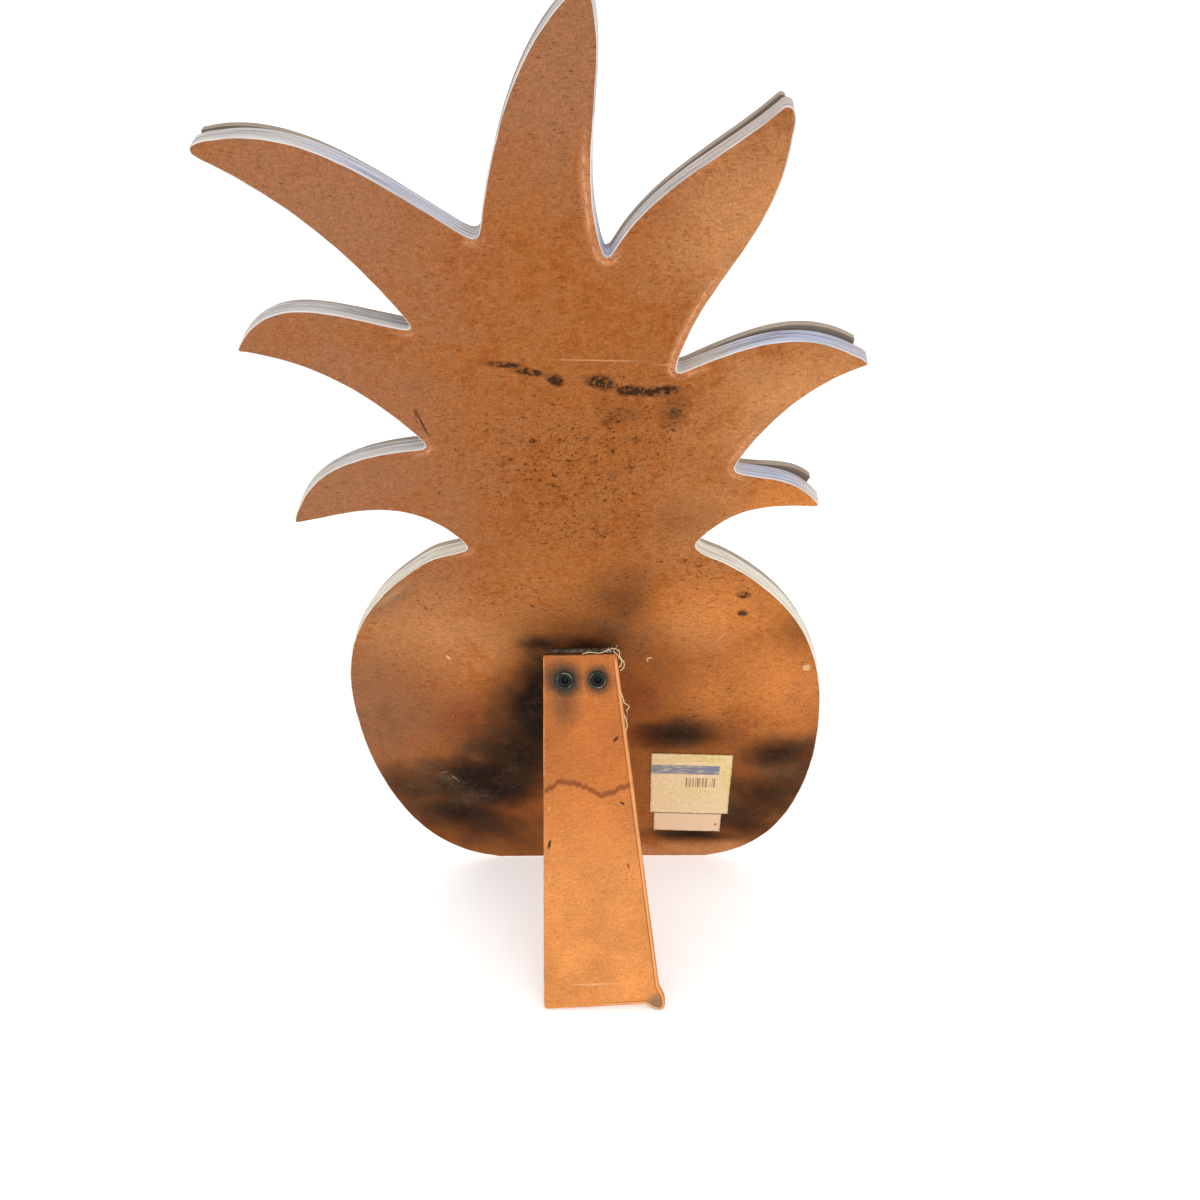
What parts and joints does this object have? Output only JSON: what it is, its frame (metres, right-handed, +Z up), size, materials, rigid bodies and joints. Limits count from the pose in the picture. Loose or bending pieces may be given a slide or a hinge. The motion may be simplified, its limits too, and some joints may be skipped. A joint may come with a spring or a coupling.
{
  "type": "pineapple ornament",
  "caption": "Flat cut-out pineapple ornament with a glued front panel, leaning back on a hinged easel leg.",
  "frame": {"origin": "under the middle of the standing ornament's box, on the surface that it stands on", "axes": "+Z up, -Y to the front, +X to the right of someone who looks at the front; the easel leg stands behind at +Y"},
  "size_m": [0.2146, 0.1056, 0.4073],
  "materials": {
    "board": "brown hardboard back with painted pale edge, worn",
    "front": "taupe paint, satin, worn at the arris",
    "leg": "bare hardboard, matt",
    "ticket": "aged paper, matt",
    "hinge": "dulled zinc-plated steel",
    "rivet": "darkened steel, worn bright at the rim"
  },
  "bodies": {
    "panel": {"board": "board", "front_panel": "front", "ticket": "ticket", "hinge_board_leaf": "hinge", "hinge_pin": "hinge"},
    "leg": {"easel_leg": "leg", "hinge_leg_leaf": "hinge", "rivet_left": "rivet", "rivet_right": "rivet"}
  },
  "joints": [
    {"name": "leg_fold", "type": "hinge", "parent": "panel", "child": "leg", "pos_m": [0.00086, -0.01157, 0.14994], "axis": [1, 0, 0], "range_deg": [-32.5, 0]}
  ]
}
